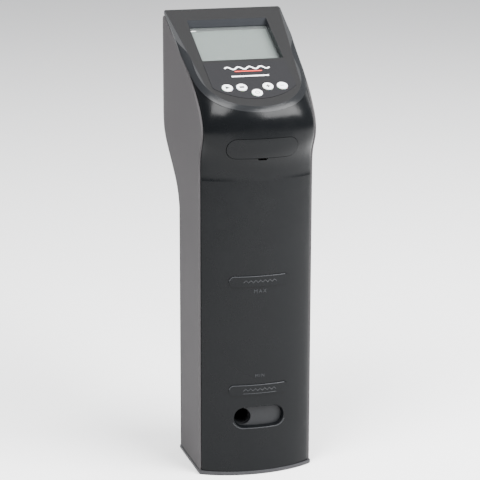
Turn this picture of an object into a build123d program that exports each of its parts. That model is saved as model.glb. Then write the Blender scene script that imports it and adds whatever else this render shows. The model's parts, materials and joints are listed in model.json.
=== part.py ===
"""Immersion circulator that clamps to a cooking tank: a wet column holding pump, heater and float switch,
and an overhanging head holding the motor, electronics, display and keys. Millimetres, +Z up, front at -Y.
The origin is the centre of the base plate's resting face."""

from build123d import *
from math import cos, radians, sin, tan
import os

os.makedirs("parts", exist_ok=True)

# ---------------------------------------------------------------- driving dimensions
HEIGHT = 359.0
COLUMN_HALF = 46.0  # half the column's width
COLUMN_REAR = 37.0  # the column's flat rear
COLUMN_EDGE = -24.6  # where the front's curve meets the side walls
COLUMN_SAGITTA = 12.4  # how far the front bows out past that edge
HEAD_HALF = 49.0  # half the head's width at its back
HEAD_BACK = 76.0  # the head's flat back
PANEL_SLOPE = 27.4  # degrees from the horizontal
TOP_RADIUS = 1.0  # rounding of the head's top edge

SIDE_THICK = 1.5
WALL = 2.6  # moulded wall
FASCIA_THICK = 2.4
BASE_THICK = 3.0
FLARE_START, FLARE_END = 205.0, 262.0  # heights between which the side walls begin to splay
SEAM = 0.8  # the moulding wraps this far round onto each side
FLANGE = 12.0  # and tucks this far back behind the side panels
FIT = 0.2  # assembly gap between static parts

# One row per height where the front moulding changes: height, side edge, bow and squareness of the curve.
STATIONS = [
    (240.0, COLUMN_EDGE, COLUMN_SAGITTA, 0.85),
    (247.0, COLUMN_EDGE, 12.9, 0.85),
    (254.0, -24.8, 15.4, 0.83),
    (262.0, -27.0, 17.4, 0.80),
    (270.0, -31.4, 15.4, 0.76),
    (279.0, -33.2, 13.7, 0.72),
    (288.0, -30.0, 16.0, 0.66),
    (298.6, -21.2, 20.2, 0.60),
    (309.0, -9.4, 21.0, 0.57),
    (320.0, 7.2, 18.5, 0.57),
    (331.0, 25.6, 11.5, 0.57),
    (343.0, 46.2, 6.0, 0.57),
    (353.0, 64.6, 3.6, 0.57),
    (364.0, 84.8, 3.0, 0.57),
]
# The sloping panel's own rows: past the last shared one its sides rise clear of the slope and end square.
LID_STATIONS = STATIONS[:-3] + [(343.0, 42.6, 8.0, 0.57), (353.0, 57.0, 5.0, 0.57), (364.0, 72.0, 4.0, 0.57)]

SLOPE = radians(PANEL_SLOPE)
PANEL_CORNER_Z = HEIGHT + TOP_RADIUS * (tan(SLOPE) + 1.0 / cos(SLOPE) - 1.0)
FLARE = (HEAD_HALF - COLUMN_HALF) / (HEAD_BACK - COLUMN_EDGE)
panel_plane = Plane(
    origin=(0, HEAD_BACK, PANEL_CORNER_Z), x_dir=(1, 0, 0), z_dir=(0, -sin(SLOPE), cos(SLOPE))
)
side_plane = Plane.YZ.offset(-60)
FAR = 120.0  # reaches clear through the body


def half_width(y, z):
    """Half the width outside the side panels: the head splays towards its back, the column doesn't."""
    splay = min(max((z - FLARE_START) / (FLARE_END - FLARE_START), 0.0), 1.0)
    return COLUMN_HALF + splay * FLARE * max(y - COLUMN_EDGE, 0.0)


def envelope_slice(z, inset, back=HEAD_BACK + 4.0):
    """One horizontal slice of the space between the side panels' faces, drawn in by inset."""
    corners = [(half_width(y, z) - inset, y) for y in (-60.0, COLUMN_EDGE, back)]
    with BuildSketch(Plane.XY.offset(z)) as section:
        with BuildLine():
            Polyline(*corners, *[(-x, y) for x, y in reversed(corners)], close=True)
        make_face()
    return section.sketch


def envelope(inset, mode=Mode.ADD):
    """The space between the side panels' faces, drawn in by inset, as one solid."""
    slices = [envelope_slice(z, inset) for z in (-1.0, FLARE_START, FLARE_END, 370.0)]
    loft(sections=slices, ruled=True, mode=mode)


def front_slice(z, edge, bow, squareness, half, back):
    """One horizontal slice of the front moulding: a bowed front between straight sides."""
    fractions = [1.0, 0.985, 0.93, 0.83, 0.68, 0.48, 0.25]
    right = [(half * t, edge - bow * (1 - t * t) ** squareness) for t in fractions]
    left = [(-x, y) for x, y in reversed(right)]
    with BuildSketch(Plane.XY.offset(z)) as section:
        with BuildLine():
            Spline(*right, (0, edge - bow), *left)
            Polyline((-half, edge), (-half, back), (half, back), (half, edge))
        make_face()
    return section.sketch


def front_body(inset=0.0, side_inset=0.0, low=BASE_THICK, depth=50.0, rows=STATIONS, mode=Mode.ADD):
    """The solid behind the front moulding's outer surface, or behind that surface moved back by inset."""
    foot = [(low, *rows[0][1:]), rows[0]]
    for heights in (foot, rows):
        slices = []
        for z, edge, bow, squareness in heights:
            half = half_width(edge, z) - side_inset
            slices.append(front_slice(z, edge + inset, bow, squareness, half, edge + inset + depth))
        loft(sections=slices, ruled=heights is foot, mode=mode)


def edge_points(shift):
    """The side edge of the front moulding, foot to top, as (y, z) points moved back by shift."""
    return [(edge + shift, z) for z, edge, _, _ in STATIONS]


def in_front_of_edge(shift, mode):
    """Everything forward of the moulding's side edge moved back by shift, clear across the body."""
    points = edge_points(shift)
    with BuildSketch(side_plane) as region:
        with BuildLine():
            Line((points[0][0], -1), points[0])
            Spline(*points, tangents=[(0, 1), (cos(SLOPE), sin(SLOPE))])
            Polyline(points[-1], (-80, points[-1][1]), (-80, -1), (points[0][0], -1))
        make_face()
    extrude(region.sketch, amount=FAR, mode=mode)


def rear_profile(top, low):
    """Line of the head's back, its S-shaped underside and the column's rear."""
    corners = [(HEAD_BACK, top), (HEAD_BACK, 261.0), (COLUMN_REAR, 218.0), (COLUMN_REAR, low)]
    return FilletPolyline(*corners, radius=40.0)


def panel_slab(top, bottom, mode):
    """A slab parallel to the sloping panel, from one level to another measured out of it."""
    with BuildSketch(panel_plane.offset(bottom)) as slab:
        Rectangle(200, 600)
    extrude(slab.sketch, amount=top - bottom, mode=mode)


def behind(y, mode):
    """Everything behind an upright plane at y."""
    with BuildSketch(Plane.XZ.offset(-y)) as wall:
        Rectangle(300, 900)
    extrude(wall.sketch, amount=-80, mode=mode)


def save(builder, label):
    """Labels a finished piece and writes it under that name."""
    builder.part.label = label
    export_step(builder.part, f"parts/{label}.step")


def rod(radius, low, high, at=(0.0, 0.0), bore=0.0, mode=Mode.ADD):
    """An upright rod or tube between two heights."""
    with BuildSketch(Plane.XY.offset(low)) as end:
        with Locations(at):
            Circle(radius)
            if bore:
                Circle(bore, mode=Mode.SUBTRACT)
    extrude(end.sketch, amount=high - low, mode=mode)


def cross_rod(radius, front, back, x, z, bore=0.0, mode=Mode.ADD):
    """A rod or tube that lies front to back."""
    with BuildSketch(Plane(origin=(x, front, z), x_dir=(1, 0, 0), z_dir=(0, 1, 0))) as end:
        Circle(radius)
        if bore:
            Circle(bore, mode=Mode.SUBTRACT)
    extrude(end.sketch, amount=back - front, mode=mode)


def block(low, high, mode=Mode.ADD):
    """A box given by its lowest and highest corners."""
    with BuildSketch(Plane.XY.offset(low[2])) as foot:
        with Locations(((low[0] + high[0]) / 2, (low[1] + high[1]) / 2)):
            Rectangle(high[0] - low[0], high[1] - low[1])
    extrude(foot.sketch, amount=high[2] - low[2], mode=mode)


def on_panel(x, v, radius, bottom, top, bore=0.0, mode=Mode.ADD):
    """A round boss or hole square to the panel, v up its slope from the top edge."""
    with BuildSketch(panel_plane.offset(bottom)) as spot:
        with Locations((x, v)):
            Circle(radius)
            if bore:
                Circle(bore, mode=Mode.SUBTRACT)
    extrude(spot.sketch, amount=top - bottom, mode=mode)


def panel_plate(width, high, low, bottom, top, mode=Mode.ADD):
    """A rectangular plate or opening parallel to the panel, from v = high down to v = low."""
    with BuildSketch(panel_plane.offset(bottom)) as spot:
        with Locations((0, (high + low) / 2)):
            Rectangle(width, high - low)
    extrude(spot.sketch, amount=top - bottom, mode=mode)


# ---------------------------------------------------------------- front features
PILL = (57.6, 16.4, 266.8)  # blanking plug: width, height, centre height
LEVEL_BAR = (49.6, 8.4)
MAX_Z, MIN_Z = 160.1, 71.1
SLOT = (43.2, 17.6, 48.2)  # flow shutter's slot
SLOT_TAPER = 24.0
NOTCH = (8.0, 3.0)  # pry gap under the blanking plug


def front_prism(width, height, z, mode, depth=60.0, taper=0.0, start=-70.0):
    """An obround prism driven straight back into the body from in front of it."""
    with BuildSketch(Plane(origin=(0, start, z), x_dir=(1, 0, 0), z_dir=(0, -1, 0))) as shape:
        SlotOverall(width, height)
    extrude(shape.sketch, amount=-depth, taper=taper, mode=mode)


BAR_RISE = 0.9
with BuildPart() as level_bars:
    front_body(inset=-BAR_RISE)
    with BuildSketch(Plane(origin=(0, -70, 0), x_dir=(1, 0, 0), z_dir=(0, -1, 0))) as bars:
        with Locations((0, MAX_Z), (0, MIN_Z)):
            SlotOverall(*LEVEL_BAR)
    extrude(bars.sketch, amount=-60, mode=Mode.INTERSECT)

with BuildPart() as shell_flange:
    front_body(side_inset=SIDE_THICK + FIT)
    in_front_of_edge(FLANGE, Mode.INTERSECT)

with BuildPart() as front_shell:
    front_body()
    in_front_of_edge(SEAM, Mode.INTERSECT)
    add(shell_flange.part)
    add(level_bars.part)
    front_body(inset=WALL, side_inset=SIDE_THICK + FIT + 2.2, low=-1.0, depth=90.0, mode=Mode.SUBTRACT)
    panel_slab(FAR, -FASCIA_THICK, Mode.SUBTRACT)
    behind(HEAD_BACK - WALL - FIT, Mode.SUBTRACT)
    front_prism(PILL[0], PILL[1], PILL[2], Mode.SUBTRACT)
    front_prism(NOTCH[0], NOTCH[1], PILL[2] - PILL[1] / 2, Mode.SUBTRACT)
    front_prism(SLOT[0], SLOT[1], SLOT[2], Mode.SUBTRACT, depth=10.0, taper=SLOT_TAPER, start=-37.0)
save(front_shell, "front_shell")

# ---------------------------------------------------------------- side panels
CORNER = 4.0
LIP_REAR = 1.5  # how thick the sloping panel's lip over the side panels is at the back
side_edge = [(y, z) for y, z in edge_points(SEAM + FIT) if z < 335]
SHOULDER = side_edge[-1]  # from here back the side panel's top edge is straight, under that lip
LID_TIP = (HEAD_BACK, PANEL_CORNER_Z - (LIP_REAR + FIT) / cos(SLOPE))
with BuildPart() as side_walls:
    envelope(0.0)
    envelope(SIDE_THICK, mode=Mode.SUBTRACT)
    with BuildSketch(side_plane) as side_outline:
        with BuildLine():
            Line((side_edge[0][0], BASE_THICK), side_edge[0])
            Spline(*side_edge, tangents=[(0, 1), (LID_TIP[0] - SHOULDER[0], LID_TIP[1] - SHOULDER[1])])
            FilletPolyline(SHOULDER, LID_TIP, (HEAD_BACK, 310.0), radius=CORNER)
            rear_profile(310.0, BASE_THICK)
            Line((COLUMN_REAR, BASE_THICK), (side_edge[0][0], BASE_THICK))
        make_face()
    extrude(side_outline.sketch, amount=FAR, mode=Mode.INTERSECT)

with BuildPart() as side_panel_left:
    add(side_walls.part)
    split(bisect_by=Plane.YZ, keep=Keep.BOTTOM)
save(side_panel_left, "side_panel_left")

with BuildPart() as side_panel_right:
    add(side_walls.part)
    split(bisect_by=Plane.YZ, keep=Keep.TOP)
save(side_panel_right, "side_panel_right")

# ---------------------------------------------------------------- sloping control panel
LCD_HALF, LCD_TOP, LCD_BOTTOM = 33.0, -16.8, -71.6
WELL_DEPTH = 9.0
LEDGE = (3.5, 4.8)  # the bevel above the display: along the slope and into it
KEY_R, KEY_GAP = 4.15, 0.25
KEYS = [
    ("start_key", -22.0, -108.0), ("menu_key", -10.5, -108.0), ("power_key", 0.0, -115.4),
    ("up_key", 10.5, -108.0), ("down_key", 22.0, -108.0),
]
OVERLAY_THICK = 0.3
OVERLAY_HALF, OVERLAY_TOP, OVERLAY_TURN, OVERLAY_BOTTOM = 33.4, -75.2, -107.0, -122.5
slope_section = Plane(
    origin=panel_plane.origin, x_dir=(0, cos(SLOPE), sin(SLOPE)), z_dir=(1, 0, 0)
)
BOSSES = [(x, v) for x in (-38.6, 38.6) for v in (-22.0, -68.0)]

with BuildPart() as under_lip:
    with BuildSketch(side_plane) as lip_side:
        with BuildLine():
            rise = (LID_TIP[1] - SHOULDER[1]) / (HEAD_BACK - SHOULDER[0])
            low_end = (SHOULDER[0], SHOULDER[1] + FIT)
            high_end = (HEAD_BACK + 5, LID_TIP[1] + FIT + 5 * rise)
            Polyline(low_end, high_end, (high_end[0], 300), (low_end[0], 300), close=True)
        make_face()
    extrude(lip_side.sketch, amount=FAR)
    envelope(SIDE_THICK + FIT, mode=Mode.SUBTRACT)

LID_CORNER = 4.5  # rounding of the lid's rear corners seen from above, cut as three flats
with BuildPart() as lid_corners:
    with BuildSketch(Plane.XY.offset(300)) as corner_flats:
        for side in (-1, 1):
            flats = [(HEAD_HALF + 0.6, HEAD_BACK - 1.5 * LID_CORNER)]
            for turn in (30, 60):
                x = HEAD_HALF - LID_CORNER * (1 - cos(radians(turn)))
                y = HEAD_BACK - LID_CORNER * (1 - sin(radians(turn)))
                flats.append((x, y))
            flats.append((HEAD_HALF - 1.5 * LID_CORNER, HEAD_BACK + 0.6))
            flats.append((HEAD_HALF + 3, HEAD_BACK + 3))
            with BuildLine():
                Polyline(*[(side * x, y) for x, y in flats], close=True)
            make_face()
    extrude(corner_flats.sketch, amount=70)

drop = FASCIA_THICK / cos(SLOPE)
reach = FAR * cos(SLOPE) + 20
low_y, low_z = HEAD_BACK - reach, PANEL_CORNER_Z - reach * tan(SLOPE)
with BuildPart() as control_panel:
    front_body(rows=LID_STATIONS)
    with BuildSketch(side_plane) as lid_side:
        with BuildLine():
            Polyline((HEAD_BACK, PANEL_CORNER_Z), (low_y, low_z), (low_y, low_z - drop),
                     (HEAD_BACK, PANEL_CORNER_Z - drop), close=True)
        make_face()
        fillet(lid_side.vertices().group_by(Axis.X)[-1].sort_by(Axis.Y)[-1], TOP_RADIUS)
    extrude(lid_side.sketch, amount=FAR, mode=Mode.INTERSECT)
    add(under_lip.part, mode=Mode.SUBTRACT)
    add(lid_corners.part, mode=Mode.SUBTRACT)
    panel_plate(2 * LCD_HALF + 4, LCD_TOP + 2, LCD_BOTTOM - 2, -WELL_DEPTH, -FASCIA_THICK)
    for x, v in BOSSES:
        on_panel(x, v, 3.0, -15.0, -FASCIA_THICK)
        on_panel(x, v, 1.2, -15.0, -8.0, mode=Mode.SUBTRACT)
    panel_plate(2 * LCD_HALF, LCD_TOP, LCD_BOTTOM, -WELL_DEPTH - 1, 1, mode=Mode.SUBTRACT)
    with BuildSketch(slope_section.offset(-LCD_HALF)) as ledge:
        with BuildLine():
            Polyline((LCD_TOP, 0), (LCD_TOP - LEDGE[0], -LEDGE[1]), (LCD_TOP - LEDGE[0], -WELL_DEPTH),
                     (LCD_TOP, -WELL_DEPTH), close=True)
        make_face()
    extrude(ledge.sketch, amount=2 * LCD_HALF)
    for _, x, v in KEYS:
        on_panel(x, v, KEY_R + KEY_GAP, -FASCIA_THICK - 1, 1, mode=Mode.SUBTRACT)
save(control_panel, "control_panel")

with BuildPart() as keypad_overlay:
    with BuildSketch(panel_plane) as overlay:
        with BuildLine():
            Polyline((-OVERLAY_HALF, OVERLAY_TURN), (-OVERLAY_HALF, OVERLAY_TOP), (OVERLAY_HALF, OVERLAY_TOP),
                     (OVERLAY_HALF, OVERLAY_TURN))
            ThreePointArc((OVERLAY_HALF, OVERLAY_TURN), (0, OVERLAY_BOTTOM), (-OVERLAY_HALF, OVERLAY_TURN))
        make_face()
        fillet(overlay.vertices(), 1.5)
        for _, x, v in KEYS:
            with Locations((x, v)):
                Circle(KEY_R + KEY_GAP, mode=Mode.SUBTRACT)
    extrude(overlay.sketch, amount=OVERLAY_THICK)
save(keypad_overlay, "keypad_overlay")

WINDOW_TOP = -5.4
with BuildPart() as lcd_window:
    panel_plate(2 * LCD_HALF - 0.4, LCD_TOP - LEDGE[0] - FIT, LCD_BOTTOM + FIT, WINDOW_TOP - 1.2, WINDOW_TOP)
save(lcd_window, "lcd_window")

LCD_FACE = -7.4
with BuildPart() as lcd_module:
    panel_plate(2 * LCD_HALF - 1.0, LCD_TOP - LEDGE[0] - 0.4, LCD_BOTTOM + 0.4, -WELL_DEPTH - 1, LCD_FACE)
    panel_plate(69.0, LCD_TOP + 3, LCD_BOTTOM - 3, -13.4, -WELL_DEPTH - 0.1)
save(lcd_module, "lcd_module")

BOARD_TOP = -15.0
CHIPS = (((0, -30), (14, 14)), ((-24, -50), (10, 6)), ((22, -48), (12, 20)), ((-22, -26), (8, 16)))
with BuildPart() as control_board:
    panel_plate(82.0, -16.5, -80.0, BOARD_TOP - 1.6, BOARD_TOP)
    with BuildSketch(panel_plane.offset(BOARD_TOP - 5.0)) as chips:
        for place, size in CHIPS:
            with Locations(place):
                Rectangle(*size)
    extrude(chips.sketch, amount=5.0 - 1.6)
    for x, v in BOSSES:
        on_panel(x, v, 1.3, BOARD_TOP - 3, BOARD_TOP + 1, mode=Mode.SUBTRACT)
save(control_board, "control_board")

# ---------------------------------------------------------------- keys and their switches
KEY_TRAVEL = 0.4
KEY_FLANGE_TOP = -FASCIA_THICK - 0.05
for label, x, v in KEYS:
    with BuildPart() as key:
        on_panel(x, v, KEY_R, KEY_FLANGE_TOP, OVERLAY_THICK + 0.45)
        on_panel(x, v, KEY_R + 0.9, KEY_FLANGE_TOP - 0.8, KEY_FLANGE_TOP)
        on_panel(x, v, 1.6, KEY_FLANGE_TOP - 2.2, KEY_FLANGE_TOP - 0.8)
    save(key, label)

SWITCH_TOP = KEY_FLANGE_TOP - 2.2 - KEY_TRAVEL - 0.15
with BuildPart() as keypad_board:
    panel_plate(60.0, -100.0, -124.0, SWITCH_TOP - 2.6, SWITCH_TOP - 1.0)
    for _, x, v in KEYS:
        on_panel(x, v, 3.6, SWITCH_TOP - 1.0, SWITCH_TOP)
save(keypad_board, "keypad_board")

# ---------------------------------------------------------------- blanking plug on the front
PLUG_GAP = 0.35
with BuildPart() as front_plug:
    front_body()
    front_prism(PILL[0] - 2 * PLUG_GAP, PILL[1] - 2 * PLUG_GAP, PILL[2], Mode.INTERSECT)
    front_body(inset=WALL, mode=Mode.SUBTRACT)
    for x in (-18.0, 18.0):
        block((x - 5, -41.5, PILL[2] - 2), (x + 5, -36.0, PILL[2] + 2))
save(front_plug, "front_plug")

# ---------------------------------------------------------------- rear of the head and column
INLET_X, INLET_Z = -19.0, 303.0
SWITCH_X, SWITCH_Z = 21.0, 303.0
REAR_GAP = SIDE_THICK + FIT
COVER_LOW = 203.4
VENT_ROWS = [322.0 + 5.0 * row for row in range(5)]
COVER_SCREWS = [(x, z) for x in (-38.0, 38.0) for z in (284.0, 346.0)]

with BuildPart() as rear_cover:
    with BuildSketch(side_plane) as cover_outline:
        with BuildLine():
            rear_profile(380.0, 150.0)
            Polyline((COLUMN_REAR, 150), (0, 150), (0, 380), (HEAD_BACK, 380))
        make_face()
        offset(amount=-WALL, mode=Mode.SUBTRACT)
        with Locations((15, 265)):
            Rectangle(36, 300, mode=Mode.SUBTRACT)
        with Locations((50, COVER_LOW - 50)):
            Rectangle(200, 100, mode=Mode.SUBTRACT)
    extrude(cover_outline.sketch, amount=FAR)
    envelope(REAR_GAP, mode=Mode.INTERSECT)
    panel_slab(120, -FASCIA_THICK - 0.1, Mode.SUBTRACT)
    with BuildSketch(Plane.XZ.offset(-HEAD_BACK - 5)) as openings:
        with Locations((INLET_X, INLET_Z)):
            Rectangle(28.0, 21.0)
        with Locations((SWITCH_X, SWITCH_Z)):
            Rectangle(13.4, 27.4)
        for z in VENT_ROWS:
            with Locations((0, z)):
                SlotOverall(56.0, 2.4)
        with Locations(*COVER_SCREWS):
            Circle(1.7)
    extrude(openings.sketch, amount=12, mode=Mode.SUBTRACT)
save(rear_cover, "rear_cover")

GUARD = (COLUMN_REAR - 1.5, COLUMN_REAR)
GUARD_HALF = COLUMN_HALF - REAR_GAP
BRACKET_SCREWS = [(x, z) for x in (-19.0, 19.0) for z in (158.0, 192.0)]
with BuildPart() as rear_guard:
    block((-GUARD_HALF, GUARD[0], BASE_THICK), (GUARD_HALF, GUARD[1], COVER_LOW - FIT))
    with BuildSketch(Plane.XZ.offset(-GUARD[1] - 1)) as low_slots:
        with Locations((0, 76.0)):
            with GridLocations(40.0, 8.0, 2, 15):
                SlotOverall(32.0, 4.0)
        with Locations(*BRACKET_SCREWS):
            Circle(2.2)
    extrude(low_slots.sketch, amount=4, mode=Mode.SUBTRACT)
save(rear_guard, "rear_guard")

# ---------------------------------------------------------------- base and deck
BASE_RIM = 0.6
TIE_RODS = [(x, y) for x in (-37.0, 37.0) for y in (-10.0, 10.0)]
with BuildPart() as base_plate:
    foot = front_slice(0.0, COLUMN_EDGE - 0.2, COLUMN_SAGITTA + 0.2, 0.85, COLUMN_HALF + BASE_RIM,
                       COLUMN_REAR + 0.4)
    extrude(foot, amount=BASE_THICK)
    fillet(base_plate.edges().group_by(Axis.Z)[0], 0.8)
    with BuildSketch() as intake:
        with PolarLocations(18.0, 8, start_angle=22.5):
            SlotOverall(12.0, 3.2)
    extrude(intake.sketch, amount=BASE_THICK, mode=Mode.SUBTRACT)
    with Locations(*[Pos(x, y, 0) * Rotation(180, 0, 0) for x, y in TIE_RODS]):
        CounterSinkHole(1.7, 3.2, BASE_THICK)
save(base_plate, "base_plate")

DECK_Z, DECK_THICK = 206.0, 2.0
DECK_HALF = 41.6
STRUTS = [(20.0 * cos(radians(a)), 20.0 * sin(radians(a))) for a in (90, 210, 330)]
FLOAT_AT, PROBE_AT = (31.0, 23.0), (-31.0, 23.0)
COIL_R, COIL_LOW, COIL_TURNS, COIL_PITCH = 30.0, 84.0, 8, 11.0
HEATER_LEGS = [(COIL_R, 0.0), (22.6, 0.0)]
SHAFT_R, SHAFT_FIT = 3.0, 0.05
LEG_R = 3.2
PROBE_R, STEM_R = 2.5, 2.5
BRACKET_LEGS = [(x, y) for x in (-20.0, 20.0) for y in (-18.0, 18.0)]


def deck_holes(amount):
    """The holes that the shaft, struts, heater legs, probe and float stem need through the deck."""
    with BuildSketch(Plane.XY.offset(DECK_Z - 0.5)) as holes:
        Circle(7.0)
        with Locations(*STRUTS, *BRACKET_LEGS, *TIE_RODS):
            Circle(1.6)
        with Locations(*HEATER_LEGS):
            Circle(LEG_R + 0.15)
        with Locations(PROBE_AT):
            Circle(PROBE_R + 0.05)
        with Locations(FLOAT_AT):
            Circle(STEM_R + 0.05)
    extrude(holes.sketch, amount=amount, mode=Mode.SUBTRACT)


with BuildPart() as deck_plate:
    extrude(front_slice(DECK_Z, COLUMN_EDGE + 3.0, COLUMN_SAGITTA, 0.85, DECK_HALF, 33.8), amount=DECK_THICK)
    deck_holes(DECK_THICK + 1)
save(deck_plate, "deck_plate")

GASKET_THICK = 1.5
with BuildPart() as deck_gasket:
    extrude(front_slice(DECK_Z + DECK_THICK, COLUMN_EDGE + 3.0, COLUMN_SAGITTA, 0.85, DECK_HALF, 33.8),
            amount=GASKET_THICK)
    extrude(front_slice(DECK_Z + DECK_THICK, COLUMN_EDGE + 9.0, COLUMN_SAGITTA, 0.85, DECK_HALF - 6, 28.0),
            amount=GASKET_THICK, mode=Mode.SUBTRACT)
save(deck_gasket, "deck_gasket")

with BuildPart() as tie_rods:
    for at in TIE_RODS:
        rod(3.0, BASE_THICK, DECK_Z, at)
        rod(1.5, BASE_THICK, BASE_THICK + 9, at, mode=Mode.SUBTRACT)
save(tie_rods, "tie_rods")

with BuildPart() as base_screws:
    for at in TIE_RODS:
        with BuildSketch(Plane(origin=(*at, 0), x_dir=(1, 0, 0), z_dir=(0, -1, 0))) as profile:
            with BuildLine():
                Polyline((0, 0.2), (2.9, 0.2), (1.4, 1.8), (1.4, 10.0), (0, 10.0), close=True)
            make_face()
        revolve(profile.sketch, axis=Axis((*at, 0), (0, 0, 1)))
save(base_screws, "base_screws")

# ---------------------------------------------------------------- pump
PUMP_LOW, PUMP_HIGH, PUMP_R = 34.0, 64.0, 27.0
NOZZLE = (-13.3, SLOT[2], 8.4, 6.6)  # across, height, outer and inner radius
IMPELLER_R, VANES = 20.0, 6

with BuildPart() as pump_housing:
    rod(PUMP_R, PUMP_LOW, PUMP_HIGH)
    cross_rod(NOZZLE[2], -28.8, -14.0, NOZZLE[0], NOZZLE[1])
    for at in STRUTS:
        rod(5.0, PUMP_HIGH - 6, PUMP_HIGH + 2, at)
    rod(22.6, PUMP_LOW - 1, PUMP_HIGH - 4, mode=Mode.SUBTRACT)
    rod(5.0, PUMP_HIGH - 6, PUMP_HIGH + 1, mode=Mode.SUBTRACT)
    cross_rod(NOZZLE[3], -29.2, -14.0, NOZZLE[0], NOZZLE[1], mode=Mode.SUBTRACT)
save(pump_housing, "pump_housing")

with BuildPart() as pump_cover:
    rod(PUMP_R, PUMP_LOW - 3, PUMP_LOW, bore=9.0)
    rod(12.0, PUMP_LOW - 8, PUMP_LOW - 3, bore=9.0)
    for angle in (0, 90):
        with BuildSketch(Plane.XY.offset(PUMP_LOW - 8)) as bar:
            with Locations(Rotation(0, 0, angle)):
                Rectangle(20.0, 2.0)
        extrude(bar.sketch, amount=2.0)
save(pump_cover, "pump_cover")

COUPLING = (218.0, 234.0)
with BuildPart() as pump_shaft:
    rod(SHAFT_R, 39.0, COUPLING[0] + 7.5)
    chamfer(pump_shaft.edges().group_by(Axis.Z)[0], 0.6)
save(pump_shaft, "pump_shaft")

with BuildPart() as impeller:
    rod(6.5, 40.0, 57.0)
    rod(IMPELLER_R, 54.0, 56.0)
    with BuildSketch(Plane.XY.offset(40.0)) as vanes:
        for vane in range(VANES):
            with BuildLine(Rotation(0, 0, 360 / VANES * vane)):
                outer = ThreePointArc((5.0, 0), (13.5, 3.2), (IMPELLER_R - 0.3, 9.0))
                inner = ThreePointArc((5.0, -1.8), (14.2, 1.4), (IMPELLER_R + 0.5, 7.6))
                Line(outer @ 0, inner @ 0)
                Line(outer @ 1, inner @ 1)
            make_face()
    extrude(vanes.sketch, amount=14.0)
    rod(SHAFT_R, 39.0, 58.0, mode=Mode.SUBTRACT)
save(impeller, "impeller")

with BuildPart() as pump_struts:
    for at in STRUTS:
        rod(3.0, PUMP_HIGH + 2, DECK_Z, at)
save(pump_struts, "pump_struts")

# ---------------------------------------------------------------- flow shutter on the front
ARC_R = (COLUMN_HALF**2 + COLUMN_SAGITTA**2) / (2 * COLUMN_SAGITTA)
ARC_Y = COLUMN_EDGE - COLUMN_SAGITTA + ARC_R
SHUTTER_R, SHUTTER_THICK = ARC_R - WALL - 1.0, 1.6


def arc_band(outer, thick, left, right, low, high):
    """A stretch of upright curved band centred on the column front's arc."""
    with BuildSketch(Plane.XY.offset(low)) as band:
        with Locations((0, ARC_Y)):
            Circle(outer)
            Circle(outer - thick, mode=Mode.SUBTRACT)
        with Locations(((left + right) / 2, -30.0)):
            Rectangle(right - left, 40.0, mode=Mode.INTERSECT)
    extrude(band.sketch, amount=high - low)


with BuildPart() as flow_shutter:
    arc_band(SHUTTER_R, SHUTTER_THICK, -33.0, 24.0, SLOT[2] - 12.0, SLOT[2] + 12.0)
    cross_rod(6.9, -50.0, -20.0, NOZZLE[0], NOZZLE[1], mode=Mode.SUBTRACT)
save(flow_shutter, "flow_shutter")

with BuildPart() as shutter_rails:
    for low, high in ((SLOT[2] - 15.6, SLOT[2] - 12.2), (SLOT[2] + 12.2, SLOT[2] + 15.6)):
        arc_band(SHUTTER_R, 2.8, -33.0, 33.0, low, high)
save(shutter_rails, "shutter_rails")

# ---------------------------------------------------------------- heater, probe and float switch
COIL_HIGH = COIL_LOW + COIL_TURNS * COIL_PITCH
LEG_TOP = 224.0
with BuildPart() as heater_coil:
    with BuildLine() as turns:
        Helix(COIL_PITCH, COIL_TURNS * COIL_PITCH, COIL_R, center=(0, 0, COIL_LOW))
    with BuildSketch(Plane(origin=turns.line @ 0, z_dir=turns.line % 0)) as wire_end:
        Circle(LEG_R)
    sweep(wire_end.sketch, path=turns.line, is_frenet=True)
    rod(LEG_R, COIL_HIGH, LEG_TOP, HEATER_LEGS[0])
    rod(LEG_R, COIL_LOW, LEG_TOP, HEATER_LEGS[1])
    with BuildSketch(Plane(origin=(*HEATER_LEGS[1], COIL_LOW), x_dir=(0, 1, 0), z_dir=(1, 0, 0))) as cross:
        Circle(LEG_R - 0.1)
    extrude(cross.sketch, amount=COIL_R - HEATER_LEGS[1][0])
    for corner in ((COIL_R, 0, COIL_HIGH), (COIL_R, 0, COIL_LOW), (*HEATER_LEGS[1], COIL_LOW)):
        with Locations(corner):
            Sphere(LEG_R + 0.35)
save(heater_coil, "heater_coil")

GLAND_LOW = DECK_Z + DECK_THICK
with BuildPart() as heater_flange:
    block((14.0, -8.0, GLAND_LOW), (35.2, 8.0, GLAND_LOW + 4))
    fillet(heater_flange.edges().filter_by(Axis.Z), 4.0)
    for leg in HEATER_LEGS:
        rod(LEG_R + 0.1, GLAND_LOW - 1, GLAND_LOW + 5, leg, mode=Mode.SUBTRACT)
save(heater_flange, "heater_flange")

with BuildPart() as temperature_probe:
    rod(PROBE_R, 70.0, DECK_Z + 18, PROBE_AT)
    fillet(temperature_probe.edges().group_by(Axis.Z)[0], 2.2)
    with BuildSketch(Plane.XY.offset(GLAND_LOW)) as gland:
        with Locations(PROBE_AT):
            RegularPolygon(4.4, 6)
    extrude(gland.sketch, amount=5)
save(temperature_probe, "temperature_probe")

FLOAT_LOW, FLOAT_TALL, FLOAT_TRAVEL = 60.0, 10.0, 6.0
with BuildPart() as float_stem:
    rod(STEM_R, 56.0, DECK_Z + 10, FLOAT_AT)
    with BuildSketch(Plane.XY.offset(GLAND_LOW)) as gland:
        with Locations(FLOAT_AT):
            RegularPolygon(4.4, 6)
    extrude(gland.sketch, amount=4)
    for low in (FLOAT_LOW - 2.1, FLOAT_LOW + FLOAT_TALL + FLOAT_TRAVEL + 0.1):
        rod(4.6, low, low + 2.0, FLOAT_AT)
save(float_stem, "float_stem")

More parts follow.
